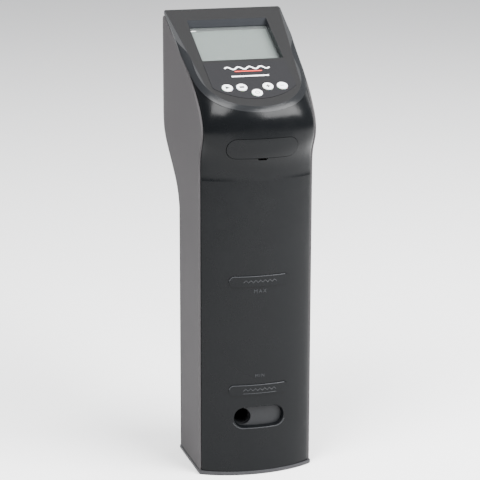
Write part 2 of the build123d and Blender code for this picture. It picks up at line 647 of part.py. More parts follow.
with BuildPart() as level_float:
    rod(8.6, FLOAT_LOW, FLOAT_LOW + FLOAT_TALL, FLOAT_AT)
    fillet(level_float.edges(), 1.5)
    rod(STEM_R + 0.4, FLOAT_LOW - 1, FLOAT_LOW + FLOAT_TALL + 1, FLOAT_AT, mode=Mode.SUBTRACT)
save(level_float, "level_float")

# ---------------------------------------------------------------- motor and fan
MOTOR_LOW, MOTOR_HIGH, MOTOR_R = 237.0, 277.0, 27.0
MOTOR_SCREWS = [(x, y) for x in (-13.0, 13.0) for y in (-13.0, 13.0)]
with BuildPart() as shaft_bushes:
    rod(5.0, PUMP_HIGH - 4, PUMP_HIGH + 3)
    rod(7.0, DECK_Z - 3, DECK_Z + 6)
    rod(9.5, GLAND_LOW, DECK_Z + 5)
    rod(SHAFT_R + SHAFT_FIT, PUMP_HIGH - 5, DECK_Z + 7, mode=Mode.SUBTRACT)
save(shaft_bushes, "shaft_bushes")

BOARD_Z = 252.0
BOARD_POSTS = [(-22.0, 31.2), (34.0, 31.2)]
with BuildPart() as standoffs:
    for at in BRACKET_LEGS:
        rod(4.0, GLAND_LOW, MOTOR_LOW - 3, at)
    for at in BOARD_POSTS:
        rod(2.4, GLAND_LOW + GASKET_THICK, BOARD_Z, at)
save(standoffs, "standoffs")

with BuildPart() as motor_bracket:
    block((-29.0, -25.0, MOTOR_LOW - 3), (29.0, 25.0, MOTOR_LOW))
    fillet(motor_bracket.edges().filter_by(Axis.Z), 5.0)
    rod(10.0, MOTOR_LOW - 4, MOTOR_LOW + 1, mode=Mode.SUBTRACT)
    for at in MOTOR_SCREWS:
        rod(1.6, MOTOR_LOW - 4, MOTOR_LOW + 1, at, mode=Mode.SUBTRACT)
save(motor_bracket, "motor_bracket")

with BuildPart() as motor_screws:
    for at in MOTOR_SCREWS:
        rod(2.8, MOTOR_LOW - 5, MOTOR_LOW - 3, at)
        rod(1.5, MOTOR_LOW - 3, MOTOR_LOW + 3, at)
save(motor_screws, "motor_screws")

with BuildPart() as shaft_coupling:
    rod(8.0, *COUPLING)
    with BuildSketch(Plane.XY.offset(COUPLING[0] + 7.5)) as slot:
        with Locations((6, 0)):
            Rectangle(12, 1.0)
    extrude(slot.sketch, amount=1.0, mode=Mode.SUBTRACT)
    chamfer(shaft_coupling.edges().group_by(Axis.Z)[0] + shaft_coupling.edges().group_by(Axis.Z)[-1], 0.7)
    rod(SHAFT_R, COUPLING[0] - 1, COUPLING[1] + 1, mode=Mode.SUBTRACT)
save(shaft_coupling, "shaft_coupling")

with BuildPart() as motor_housing:
    rod(MOTOR_R, MOTOR_LOW, MOTOR_HIGH)
    fillet(motor_housing.edges().group_by(Axis.Z)[-1], 2.0)
    rod(MOTOR_R - 2, MOTOR_LOW + 3, MOTOR_HIGH - 3, mode=Mode.SUBTRACT)
    rod(8.0, MOTOR_LOW - 1, MOTOR_HIGH + 1, mode=Mode.SUBTRACT)
    for at in MOTOR_SCREWS:
        rod(1.5, MOTOR_LOW - 1, MOTOR_LOW + 4, at, mode=Mode.SUBTRACT)
save(motor_housing, "motor_housing")

with BuildPart() as motor_bearings:
    for low in (MOTOR_LOW, MOTOR_HIGH - 4):
        rod(8.0, low, low + 4, bore=SHAFT_R + SHAFT_FIT)
save(motor_bearings, "motor_bearings")

with BuildPart() as motor_stator:
    rod(MOTOR_R - 2, MOTOR_LOW + 9, MOTOR_HIGH - 9, bore=14.4)
save(motor_stator, "motor_stator")

with BuildPart() as motor_rotor:
    rod(SHAFT_R, COUPLING[0] + 8.5, MOTOR_HIGH + 12)
    rod(14.0, MOTOR_LOW + 7, MOTOR_HIGH - 7)
save(motor_rotor, "motor_rotor")

FAN_BLADES = 7
with BuildPart() as cooling_fan:
    rod(7.0, MOTOR_HIGH + 3, MOTOR_HIGH + 11)
    for blade in range(FAN_BLADES):
        around = Rotation(0, 0, 360 / FAN_BLADES * blade)
        tilted = around * Location((15.0, 0, MOTOR_HIGH + 7)) * Rotation(35, 0, 0)
        with Locations(tilted):
            Box(18.0, 9.0, 1.2)
    rod(SHAFT_R, MOTOR_HIGH + 2, MOTOR_HIGH + 12, mode=Mode.SUBTRACT)
save(cooling_fan, "cooling_fan")

# ---------------------------------------------------------------- power electronics
with BuildPart() as power_board:
    block((-28.0, 28.6, BOARD_Z), (40.0, 62.0, BOARD_Z + 1.6))
    block((-6.0, 38.0, BOARD_Z + 1.6), (2.0, 56.0, BOARD_Z + 17))
    for at in ((-1.0, 33.0), (8.0, 58.4)):
        rod(3.6, BOARD_Z + 1.6, BOARD_Z + 12, at)
save(power_board, "power_board")

with BuildPart() as transformer:
    block((8.0, 37.0, BOARD_Z + 1.6), (38.0, 54.0, BOARD_Z + 27))
    block((14.0, 31.0, BOARD_Z + 6), (32.0, 60.0, BOARD_Z + 22))
save(transformer, "transformer")

with BuildPart() as heat_sink:
    block((-26.0, 34.0, BOARD_Z + 1.6), (-23.0, 60.0, BOARD_Z + 30))
    for fin in range(5):
        y = 34.0 + 5.9 * fin
        block((-24.0, y, BOARD_Z + 1.6), (-10.0, y + 1.8, BOARD_Z + 30))
save(heat_sink, "heat_sink")

# ---------------------------------------------------------------- mains inlet and rocker switch
INLET_PINS = [(-7.0, -2.0), (0.0, 2.0), (7.0, -2.0)]
with BuildPart() as inlet_pins:
    for x, z in INLET_PINS:
        low = (INLET_X + x - 1.0, HEAD_BACK - 28, INLET_Z + z - 2.0)
        block(low, (low[0] + 2.0, HEAD_BACK - 2.5, low[2] + 4.0))
save(inlet_pins, "inlet_pins")

with BuildPart() as power_inlet:
    block((INLET_X - 13.8, HEAD_BACK - 24, INLET_Z - 10.3), (INLET_X + 13.8, HEAD_BACK, INLET_Z + 10.3))
    block((INLET_X - 17.5, HEAD_BACK, INLET_Z - 14.0), (INLET_X + 17.5, HEAD_BACK + 2.5, INLET_Z + 14.0))
    fillet(power_inlet.edges().filter_by(Axis.Y), 1.2)
    block((INLET_X - 12.2, HEAD_BACK - 14.5, INLET_Z - 8.4), (INLET_X + 12.2, HEAD_BACK + 3, INLET_Z + 8.4),
          mode=Mode.SUBTRACT)
    add(inlet_pins.part, mode=Mode.SUBTRACT)
save(power_inlet, "power_inlet")

PIVOT = (SWITCH_X, HEAD_BACK + 0.4, SWITCH_Z)
ROCK = 8.0
TRUNNION = (1.0, 5.7)  # radius, reach to each side
with BuildPart() as switch_body:
    block((SWITCH_X - 6.5, HEAD_BACK - 18, SWITCH_Z - 13.5), (SWITCH_X + 6.5, HEAD_BACK, SWITCH_Z + 13.5))
    block((SWITCH_X - 8.0, HEAD_BACK, SWITCH_Z - 15.5), (SWITCH_X + 8.0, HEAD_BACK + 2.0, SWITCH_Z + 15.5))
    fillet(switch_body.edges().group_by(Axis.Y)[-1], 0.6)
    block((SWITCH_X - 5.2, HEAD_BACK - 8, SWITCH_Z - 11.0), (SWITCH_X + 5.2, HEAD_BACK + 3, SWITCH_Z + 11.0),
          mode=Mode.SUBTRACT)
    with Locations(Plane(origin=PIVOT, z_dir=(1, 0, 0))):
        Cylinder(TRUNNION[0] + 0.05, 2 * (TRUNNION[1] + 0.2), mode=Mode.SUBTRACT)
save(switch_body, "switch_body")

with BuildPart() as switch_rocker:
    with BuildSketch(Plane(origin=PIVOT, x_dir=(0, 1, 0), z_dir=(1, 0, 0)).offset(-4.9)) as rocker_side:
        with BuildLine():
            Polyline((-3.5, -10.0), (3.2, -10.2), (2.0, 0), (3.2, 10.2), (-3.5, 10.0), close=True)
        make_face()
    extrude(rocker_side.sketch, amount=9.8)
    fillet(switch_rocker.edges().filter_by(Axis.X).group_by(Axis.Y)[-1], 0.5)
    with Locations(Plane(origin=PIVOT, z_dir=(1, 0, 0))):
        Cylinder(TRUNNION[0], 2 * TRUNNION[1])
switch_rocker.part = switch_rocker.part.rotate(Axis(PIVOT, (1, 0, 0)), -ROCK)
save(switch_rocker, "switch_rocker")

with BuildPart() as cover_screws:
    for x, z in COVER_SCREWS:
        cross_rod(3.0, HEAD_BACK, HEAD_BACK + 1.7, x, z)
        cross_rod(1.6, HEAD_BACK - 9, HEAD_BACK, x, z)
    fillet(cover_screws.edges().group_by(Axis.Y)[-1], 0.8)
save(cover_screws, "cover_screws")

# ---------------------------------------------------------------- tank clamp
SCREW_Z = 175.0
JAW_HALF, JAW_THICK = 25.0, 2.5
BRIDGE_Z = 199.0
LUG_Y = 101.5
BUSH_R, SCREW_R = 6.0, 4.0
LINER_THICK = 2.0
LINER_FACE = COLUMN_REAR + JAW_THICK + LINER_THICK
TANK_GAP = 14.0
PAD_FACE = LINER_FACE + TANK_GAP
PLATE = PAD_FACE + LINER_THICK
KNOB = (121.0, 140.0, 15.0)

with BuildPart() as clamp_bracket:
    block((-JAW_HALF, COLUMN_REAR, 148.0), (JAW_HALF, COLUMN_REAR + JAW_THICK, BRIDGE_Z + JAW_THICK))
    block((-JAW_HALF, COLUMN_REAR, BRIDGE_Z), (JAW_HALF, LUG_Y + JAW_THICK, BRIDGE_Z + JAW_THICK))
    block((-JAW_HALF, LUG_Y, 156.0), (JAW_HALF, LUG_Y + JAW_THICK, BRIDGE_Z + JAW_THICK))
    fillet(clamp_bracket.edges().filter_by(Axis.Y).group_by(Axis.Z)[0], 6.0)
    for x in (-JAW_HALF, JAW_HALF - 2.0):
        block((x, 46.0, BRIDGE_Z), (x + 2.0, LUG_Y + JAW_THICK, BRIDGE_Z + 8))
    cross_rod(BUSH_R, LUG_Y - 1, LUG_Y + JAW_THICK + 1, 0, SCREW_Z, mode=Mode.SUBTRACT)
    for x, z in BRACKET_SCREWS:
        cross_rod(2.2, COLUMN_REAR - 1, COLUMN_REAR + JAW_THICK + 1, x, z, mode=Mode.SUBTRACT)
save(clamp_bracket, "clamp_bracket")

with BuildPart() as bracket_screws:
    for x, z in BRACKET_SCREWS:
        cross_rod(3.6, COLUMN_REAR + JAW_THICK, COLUMN_REAR + JAW_THICK + 1.8, x, z)
        cross_rod(2.0, 30.0, COLUMN_REAR + JAW_THICK, x, z)
        cross_rod(3.6, GUARD[0] - 3, GUARD[0], x, z)
save(bracket_screws, "bracket_screws")

with BuildPart() as jaw_liner:
    block((-13.5, COLUMN_REAR + JAW_THICK, 156.0), (13.5, LINER_FACE, 196.0))
    fillet(jaw_liner.edges().filter_by(Axis.Y), 3.0)
save(jaw_liner, "jaw_liner")

with BuildPart() as clamp_bush:
    cross_rod(BUSH_R, LUG_Y, LUG_Y + JAW_THICK + 2, 0, SCREW_Z)
    cross_rod(9.0, LUG_Y - 3, LUG_Y, 0, SCREW_Z)
    cross_rod(SCREW_R + SHAFT_FIT, LUG_Y - 4, LUG_Y + JAW_THICK + 3, 0, SCREW_Z, mode=Mode.SUBTRACT)
save(clamp_bush, "clamp_bush")

with BuildPart() as pad_liner:
    cross_rod(14.5, PAD_FACE, PLATE, 0, SCREW_Z)
save(pad_liner, "pad_liner")

with BuildPart() as clamp_pad:
    cross_rod(15.0, PLATE, PLATE + 3, 0, SCREW_Z)
    cross_rod(8.0, PLATE + 3, PLATE + 10, 0, SCREW_Z)
    cross_rod(SCREW_R + 0.2, PLATE + 3.5, PLATE + 11, 0, SCREW_Z, mode=Mode.SUBTRACT)
save(clamp_pad, "clamp_pad")

with BuildPart() as clamp_screw:
    cross_rod(SCREW_R, PLATE + 3.8, KNOB[0] + 12, 0, SCREW_Z)
save(clamp_screw, "clamp_screw")

LOBES = 6
with BuildPart() as clamp_knob:
    with BuildSketch(Plane(origin=(0, KNOB[0], SCREW_Z), x_dir=(1, 0, 0), z_dir=(0, 1, 0))) as knob_face:
        Circle(KNOB[2])
        with PolarLocations(KNOB[2] + 3.4, LOBES):
            Circle(5.0, mode=Mode.SUBTRACT)
        fillet(knob_face.vertices(), 1.4)
    extrude(knob_face.sketch, amount=KNOB[1] - KNOB[0])
    fillet(clamp_knob.edges().group_by(Axis.Y)[-1], 1.6)
    cross_rod(SCREW_R, KNOB[0] - 1, KNOB[0] + 12, 0, SCREW_Z, mode=Mode.SUBTRACT)
save(clamp_knob, "clamp_knob")
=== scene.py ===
"""Looks for the immersion circulator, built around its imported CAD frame. Metres, +Z up, front at -Y."""

import json
from math import cos, pi, radians, sin

import bmesh
import bpy
from mathutils import Matrix, Vector
from mathutils.bvhtree import BVHTree


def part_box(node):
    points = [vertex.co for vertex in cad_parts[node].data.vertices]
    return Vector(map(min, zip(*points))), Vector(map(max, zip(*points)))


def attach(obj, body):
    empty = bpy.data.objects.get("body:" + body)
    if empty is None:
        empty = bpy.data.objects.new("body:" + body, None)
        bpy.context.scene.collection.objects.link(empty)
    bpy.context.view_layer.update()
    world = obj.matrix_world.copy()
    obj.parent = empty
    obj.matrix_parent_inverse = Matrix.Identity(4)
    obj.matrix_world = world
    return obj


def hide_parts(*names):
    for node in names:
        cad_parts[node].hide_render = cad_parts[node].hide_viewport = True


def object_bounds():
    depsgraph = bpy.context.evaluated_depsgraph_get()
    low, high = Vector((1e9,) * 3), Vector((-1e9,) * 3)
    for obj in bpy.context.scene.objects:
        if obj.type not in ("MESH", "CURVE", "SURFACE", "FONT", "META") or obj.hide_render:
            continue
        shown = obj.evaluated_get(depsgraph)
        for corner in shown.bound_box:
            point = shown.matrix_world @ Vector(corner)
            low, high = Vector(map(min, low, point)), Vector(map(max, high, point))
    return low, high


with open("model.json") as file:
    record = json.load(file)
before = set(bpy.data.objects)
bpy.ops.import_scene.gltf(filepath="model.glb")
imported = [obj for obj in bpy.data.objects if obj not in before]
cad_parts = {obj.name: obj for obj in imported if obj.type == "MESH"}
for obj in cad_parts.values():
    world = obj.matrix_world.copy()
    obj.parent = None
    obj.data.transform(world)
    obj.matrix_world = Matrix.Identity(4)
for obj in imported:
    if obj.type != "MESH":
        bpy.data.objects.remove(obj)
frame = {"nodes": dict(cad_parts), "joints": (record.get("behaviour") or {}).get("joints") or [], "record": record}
CAD_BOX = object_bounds()
MM = 0.001
NODES = frame["nodes"]
SLOT_OF = {part["node"]: part["material_slot"] for part in frame["record"]["subparts"]}


# ---------------------------------------------------------------- camera
def add_camera():
    """A long lens, a little above the object and to its left."""
    azimuth, elevation, roll = radians(-16.105), radians(14.318), radians(0.13)
    target = Vector((-12.97, -24.6, 190.83)) * MM
    distance = 1497.5 * MM
    back = Vector((sin(azimuth) * cos(elevation), -cos(azimuth) * cos(elevation), sin(elevation)))
    level_right = Vector((cos(azimuth), sin(azimuth), 0))
    level_up = back.cross(level_right)
    right = level_right * cos(roll) + level_up * sin(roll)
    up = back.cross(right)
    data = bpy.data.cameras.new("camera")
    data.lens, data.sensor_width = 144.0, 36.0
    data.clip_start, data.clip_end = 0.05, 100.0
    camera = bpy.data.objects.new("camera", data)
    bpy.context.scene.collection.objects.link(camera)
    camera.matrix_world = Matrix.Translation(target + back * distance) @ Matrix(
        (right, up, back)).transposed().to_4x4()
    bpy.context.scene.camera = camera


add_camera()


# ---------------------------------------------------------------- stage and light
def add_softbox(name, place, aim, width, height, watts):
    """A rectangular area light turned towards a point."""
    data = bpy.data.lights.new(name, "AREA")
    data.shape = "RECTANGLE"
    data.size, data.size_y = width, height
    data.energy = watts
    light = bpy.data.objects.new(name, data)
    bpy.context.scene.collection.objects.link(light)
    light.location = place
    light.rotation_euler = (Vector(aim) - Vector(place)).to_track_quat("-Z", "Y").to_euler()


def add_stage():
    """A wide pale floor, a pale sky and soft boxes."""
    mesh = bpy.data.meshes.new("floor")
    bm = bmesh.new()
    bmesh.ops.create_circle(bm, cap_ends=True, segments=96, radius=14.0)
    bm.to_mesh(mesh)
    bm.free()
    floor = bpy.data.objects.new("floor", mesh)
    bpy.context.scene.collection.objects.link(floor)
    floor.location.z = CAD_BOX[0].z - 0.0002
    paper = bpy.data.materials.new("paper")
    paper.use_nodes = True
    surface = paper.node_tree.nodes["Principled BSDF"]
    surface.inputs["Base Color"].default_value = (0.90, 0.90, 0.90, 1)
    surface.inputs["Roughness"].default_value = 0.9
    surface.inputs["Specular IOR Level"].default_value = 0.1
    mesh.materials.append(paper)
    world = bpy.data.worlds.new("sky")
    world.use_nodes = True
    world.node_tree.nodes["Background"].inputs["Color"].default_value = (0.96, 0.97, 1.0, 1)
    world.node_tree.nodes["Background"].inputs["Strength"].default_value = 0.66
    bpy.context.scene.world = world
    chin = Vector((0, -30, 297)) * MM
    for name, azimuth, elevation, away, width, height, watts in (
        ("left", -50, 54, 1.8, 0.90, 1.04, 86.0),
        ("right", 44, 36, 1.8, 1.60, 0.94, 150.0),
        ("above", 10, 80, 2.0, 1.20, 0.70, 22.0),
        ("overhead", 145, 64, 2.0, 1.10, 0.90, 14.0),
        ("rim", 118, 8, 1.9, 0.40, 1.30, 4.0),
    ):
        azimuth, elevation = radians(azimuth), radians(elevation)
        toward = Vector((sin(azimuth) * cos(elevation), -cos(azimuth) * cos(elevation), sin(elevation)))
        add_softbox(name, chin + toward * away, chin, width, height, watts)


add_stage()


# ---------------------------------------------------------------- material nodes
class Shader:
    """A node material under construction: object coordinates in, one Principled BSDF out."""

    def __init__(self, name):
        self.material = bpy.data.materials.new(name)
        self.material.use_nodes = True
        self.tree = self.material.node_tree
        self.surface = self.tree.nodes["Principled BSDF"]
        self.where = self.tree.nodes.new("ShaderNodeTexCoord").outputs["Object"]

    def set(self, **values):
        """Constant values straight on the surface's sockets, spaces written as underscores."""
        for key, value in values.items():
            self.surface.inputs[key.replace("_", " ")].default_value = value
        return self

    def link(self, source, target):
        self.tree.links.new(source, target)

    def stretched(self, scale):
        """Object coordinates stretched along each axis, so that noise becomes brushed or drawn grain."""
        node = self.tree.nodes.new("ShaderNodeMapping")
        node.inputs["Scale"].default_value = scale
        self.link(self.where, node.inputs["Vector"])
        return node.outputs["Vector"]

    def noise(self, scale, detail=4.0, roughness=0.55, where=None):
        node = self.tree.nodes.new("ShaderNodeTexNoise")
        node.inputs["Scale"].default_value = scale
        node.inputs["Detail"].default_value = detail
        node.inputs["Roughness"].default_value = roughness
        self.link(where or self.where, node.inputs["Vector"])
        return node.outputs["Fac"]

    def remap(self, source, low, high, from_low=0.3, from_high=0.7):
        node = self.tree.nodes.new("ShaderNodeMapRange")
        node.inputs["From Min"].default_value = from_low
        node.inputs["From Max"].default_value = from_high
        node.inputs["To Min"].default_value = low
        node.inputs["To Max"].default_value = high
        self.link(source, node.inputs["Value"])
        return node.outputs["Result"]

    def math(self, operation, a, b):
        node = self.tree.nodes.new("ShaderNodeMath")
        node.operation = operation
        for socket, value in zip(node.inputs, (a, b)):
            if isinstance(value, float):
                socket.default_value = value
            else:
                self.link(value, socket)
        return node.outputs["Value"]

    def blend(self, factor, one, two):
        """A colour between two others. Each is a colour or a socket."""
        node = self.tree.nodes.new("ShaderNodeMix")
        node.data_type = "RGBA"
        self.link(factor, node.inputs["Factor"])
        for socket, colour in ((node.inputs[6], one), (node.inputs[7], two)):
            if isinstance(colour, (tuple, list)):
                socket.default_value = (*colour, 1)
            else:
                self.link(colour, socket)
        return node.outputs[2]

    def facing(self, direction, low, high):
        """1 where the surface's own normal lies close to a fixed direction of the object."""
        geometry = self.tree.nodes.new("ShaderNodeTexCoord").outputs["Normal"]
        dot = self.tree.nodes.new("ShaderNodeVectorMath")
        dot.operation = "DOT_PRODUCT"
        self.link(geometry, dot.inputs[0])
        dot.inputs[1].default_value = direction
        return self.remap(dot.outputs["Value"], 0.0, 1.0, low, high)

    def along(self, direction):
        """How far a point lies along a fixed direction of the object, in metres."""
        dot = self.tree.nodes.new("ShaderNodeVectorMath")
        dot.operation = "DOT_PRODUCT"
        self.link(self.where, dot.inputs[0])
        dot.inputs[1].default_value = direction
        return dot.outputs["Value"]

    def band(self, axis, low, high, soft=0.0003):
        """1 between two places along an axis, with soft ends."""
        place = self.along(tuple(float(axis == name) for name in "XYZ"))
        rise = self.remap(place, 0.0, 1.0, low - soft, low + soft)
        fall = self.remap(place, 1.0, 0.0, high - soft, high + soft)
        return self.math("MULTIPLY", rise, fall)

    def colour(self, source):
        self.link(source, self.surface.inputs["Base Color"])
        return self

    def roughness(self, source):
        self.link(source, self.surface.inputs["Roughness"])
        return self

    def bump(self, height, depth):
        """Relief of that depth in metres."""
        node = self.tree.nodes.new("ShaderNodeBump")
        node.inputs["Strength"].default_value = 1.0
        node.inputs["Distance"].default_value = depth
        self.link(height, node.inputs["Height"])
        self.link(node.outputs["Normal"], self.surface.inputs["Normal"])
        return self


def shade(base, share):
    """A colour made lighter or darker by a share."""
    return tuple(min(1.0, c * share) for c in base)


def plastic(name, base, rough, grain=2600.0, depth=0.00002, variation=0.10, specular=0.15):
    """Moulded plastic: faint mottling, uneven gloss and a fine spark-eroded grain."""
    s = Shader(name).set(Specular_IOR_Level=specular)
    mottle = s.noise(55.0, 5.0)
    s.colour(s.blend(mottle, shade(base, 1 - variation), shade(base, 1 + variation)))
    s.roughness(s.remap(s.noise(160.0, 4.0), rough - 0.05, rough + 0.05))
    s.bump(s.noise(grain, 2.0, 0.5), depth)
    return s.material


def brushed(name, base, rough, along):
    """Metal with fine parallel scratches along one axis."""
    s = Shader(name).set(Metallic=1.0)
    scale = [9000.0, 9000.0, 9000.0]
    scale["xyz".index(along)] = 120.0
    scratches = s.noise(1.0, 3.0, 0.6, s.stretched(scale))
    cloud = s.noise(35.0, 4.0)
    s.colour(s.blend(scratches, shade(base, 0.86), shade(base, 1.1)))
    s.roughness(s.math("ADD", s.remap(scratches, rough - 0.06, rough + 0.06), s.remap(cloud, -0.04, 0.05)))
    s.bump(scratches, 0.006 * MM)
    return s.material


def turned(name, base, rough, axis):
    """Metal turned on a lathe: fine rings along its axis."""
    s = Shader(name).set(Metallic=1.0)
    wave = s.tree.nodes.new("ShaderNodeTexWave")
    wave.bands_direction = axis
    wave.inputs["Scale"].default_value = 900.0
    wave.inputs["Distortion"].default_value = 1.5
    wave.inputs["Detail"].default_value = 2.0
    s.link(s.where, wave.inputs["Vector"])
    cloud = s.noise(70.0, 4.0)
    s.colour(s.blend(cloud, shade(base, 0.86), shade(base, 1.08)))
    s.roughness(s.remap(cloud, rough - 0.05, rough + 0.08))
    s.bump(wave.outputs["Fac"], 0.000008)
    return s.material


# Out of the sloping panel, against the way its keys press, and up along its slope.
NORMAL_UP = -Vector(next(j["axis"] for j in frame["joints"] if j["child"] == "power_key"))
UPSLOPE = NORMAL_UP.cross(Vector((1, 0, 0)))


def column_black():
    """Satin black moulding, with a slightly uneven gloss and a fine orange-peel skin."""
    s = Shader("column_black").set(IOR=1.45, Specular_IOR_Level=0.12)
    mottle = s.noise(30.0, 5.0)
    s.colour(s.blend(mottle, (0.0018, 0.0021, 0.0025), (0.0030, 0.0034, 0.0039)))
    s.roughness(s.remap(s.noise(90.0, 4.0), 0.19, 0.25))
    s.bump(s.math("ADD", s.noise(420.0, 3.0), s.noise(2400.0, 2.0)), 0.000006)
    return s.material


def side_grey():
    """Satin grey paint on sheet steel: fine grain, drawn faintly upright, and a painted highlight along the
    rounded rear edge.
    """
    s = Shader("side_grey").set(IOR=1.45, Specular_IOR_Level=0.03)
    grain = s.noise(1.0, 4.0, 0.6, s.stretched((5200.0, 5200.0, 420.0)))
    cloud = s.noise(14.0, 5.0)
    base = s.blend(cloud, (0.036, 0.034, 0.0352), (0.045, 0.0428, 0.0443))
    painted = s.blend(s.remap(grain, 0.0, 0.35), base, (0.082, 0.079, 0.081))
    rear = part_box("side_panel_left")[1].y
    # painted highlight: a lighter strip just in from the rear edge, standing in for the light its rounding catches
    rear_edge_highlight = s.band("Y", rear - 3.2 * MM, rear - 2.4 * MM)
    s.colour(s.blend(s.math("MULTIPLY", rear_edge_highlight, 0.5), painted, (0.13, 0.126, 0.13)))
    s.roughness(s.remap(grain, 0.52, 0.64))
    s.bump(grain, 0.000010)
    return s.material


def panel_matte():
    """Matte charcoal where it faces up the slope, satin black where it rolls over to the sides, with a painted
    highlight on the ledge above the display.
    """
    s = Shader("panel_matte").set(IOR=1.45, Specular_IOR_Level=0.15)
    narrowing, half = 0.105, 39.9 * MM  # the matte field narrows towards the front in a straight line
    left = s.remap(s.along((-1, -narrowing, 0)), 1.0, 0.0, half - 0.2 * MM, half + 0.2 * MM)
    right = s.remap(s.along((1, -narrowing, 0)), 1.0, 0.0, half - 0.2 * MM, half + 0.2 * MM)
    rear = s.remap(s.along((0, 1, 0)), 0.0, 1.0, -4 * MM, -3 * MM)
    rear = s.math("MULTIPLY", rear, s.facing(NORMAL_UP, 0.70, 0.76))
    flat = s.math("MAXIMUM", s.facing(NORMAL_UP, 0.985, 0.9985), rear)
    flat = s.math("MULTIPLY", flat, s.math("MULTIPLY", left, right))
    speck = s.noise(1900.0, 3.0, 0.6)
    matte = s.blend(speck, (0.0062, 0.0062, 0.0065), (0.0100, 0.0100, 0.0104))
    low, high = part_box("lcd_window")
    across = s.band("X", low.x - 2 * MM, high.x + 0.6 * MM)
    upper, lower = high.dot(UPSLOPE), low.dot(UPSLOPE)
    above = s.remap(s.along(UPSLOPE), 0.0, 1.0, (upper + lower) / 2, upper)
    # painted highlight: the slanted ledge above the display is coloured lighter and bluer, as if lit from above
    painted_ledge_highlight = s.math("MULTIPLY", across, above)
    satin_and_painted_highlight = s.blend(painted_ledge_highlight, (0.0085, 0.0091, 0.0100), (0.016, 0.0172, 0.0196))
    s.colour(s.blend(flat, satin_and_painted_highlight, matte))
    satin = s.remap(s.noise(120.0), 0.19, 0.25)
    rough = s.tree.nodes.new("ShaderNodeMix")
    s.link(flat, rough.inputs["Factor"])
    s.link(satin, rough.inputs["A"])
    s.link(s.remap(speck, 0.56, 0.68), rough.inputs["B"])
    s.roughness(rough.outputs["Result"])
    s.bump(s.math("MULTIPLY", speck, flat), 0.00004)
    return s.material


def overlay_film():
    """The printed polyester film over the keys: a little smoother and darker than the panel."""
    s = Shader("overlay_film").set(IOR=1.5, Specular_IOR_Level=0.08)
    speck = s.noise(2300.0, 3.0, 0.6)
    s.colour(s.blend(speck, (0.008, 0.008, 0.009), (0.013, 0.013, 0.0143)))
    s.roughness(s.remap(speck, 0.54, 0.62))
    s.bump(speck, 0.00002)
    return s.material


def key_white():
    s = Shader("key_white").set(IOR=1.46, Subsurface_Weight=0.08)
    cloud = s.noise(600.0, 4.0)
    s.colour(s.blend(cloud, (0.80, 0.80, 0.79), (0.90, 0.90, 0.89)))
    s.roughness(s.remap(cloud, 0.38, 0.48))
    s.bump(s.noise(3200.0, 2.0), 0.00001)
    return s.material


def lcd_glass():
    """Grey-green display glass with faint cloudiness, dark round its rim: at the sides partly its black frame and
    partly painted shade from the well's walls, along the top painted shade under the ledge.
    """
    s = Shader("lcd_glass").set(IOR=1.5, Specular_IOR_Level=0.06)
    low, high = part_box("lcd_window")
    where = s.tree.nodes.new("ShaderNodeSeparateXYZ")
    s.link(s.where, where.inputs["Vector"])
    half = (high.x - low.x) / 2
    # partly the display's black frame, partly painted shade from the well's side walls: dark within 0.8 mm of its
    # left and right ends
    inside = s.remap(s.math("ABSOLUTE", where.outputs["X"], 0.0), 1.0, 0.0, half - 0.0008, half - 0.0004)
    top = max(v.co.dot(UPSLOPE) for v in NODES["lcd_window"].data.vertices)
    # painted shade: a dark strip along the top edge, where the ledge above shades the glass
    clear_of_top_shade = s.remap(s.along(UPSLOPE), 1.0, 0.0, top - 1.9 * MM, top - 1.4 * MM)
    face = s.math("MULTIPLY", s.facing(NORMAL_UP, 0.9, 0.95), clear_of_top_shade)
    cloud = s.noise(28.0, 4.0)
    glow = s.blend(cloud, (0.048, 0.061, 0.056), (0.058, 0.071, 0.066))
    s.colour(s.blend(s.math("MULTIPLY", inside, face), (0.006, 0.0065, 0.007), glow))
    s.roughness(s.remap(cloud, 0.30, 0.40))
    s.bump(s.noise(1500.0, 2.0), 0.000008)
    return s.material


def clear_window():
    """A thin clear window: mostly see-through, with its own gloss and a few fine hairlines."""
    s = Shader("clear_window").set(IOR=1.49, Alpha=0.05, Specular_IOR_Level=0.3)
    hair = s.noise(1.0, 2.0, 0.5, s.stretched((300.0, 4000.0, 4000.0)))
    s.colour(s.blend(hair, (0.50, 0.55, 0.54), (0.60, 0.64, 0.63)))
    s.roughness(s.remap(hair, 0.05, 0.12))
    s.bump(hair, 0.000003)
    return s.material


def rubber():
    s = Shader("rubber").set(IOR=1.5)
    speck = s.noise(1400.0, 4.0)
    s.colour(s.blend(speck, (0.016, 0.016, 0.016), (0.034, 0.033, 0.032)))
    s.roughness(s.remap(speck, 0.72, 0.86))
    ribs = s.tree.nodes.new("ShaderNodeTexWave")
    ribs.bands_direction = "Z"
    ribs.inputs["Scale"].default_value = 160.0
    s.link(s.where, ribs.inputs["Vector"])
    s.bump(s.math("ADD", ribs.outputs["Fac"], s.math("MULTIPLY", speck, 0.2)), 0.00025)
    return s.material


def circuit_board():
    """Solder mask with tracks and pads, and parts where it stands proud."""
    s = Shader("circuit_board").set(IOR=1.5)
    tracks = s.tree.nodes.new("ShaderNodeTexBrick")
    tracks.inputs["Scale"].default_value = 260.0
    tracks.inputs["Mortar Size"].default_value = 0.04
    tracks.inputs["Color1"].default_value = (0.010, 0.085, 0.035, 1)
    tracks.inputs["Color2"].default_value = (0.014, 0.105, 0.045, 1)
    tracks.inputs["Mortar"].default_value = (0.045, 0.22, 0.10, 1)
    s.link(s.where, tracks.inputs["Vector"])
    s.colour(tracks.outputs["Color"])
    s.roughness(s.remap(s.noise(900.0), 0.30, 0.45))
    s.bump(tracks.outputs["Fac"], 0.00003)
    return s.material


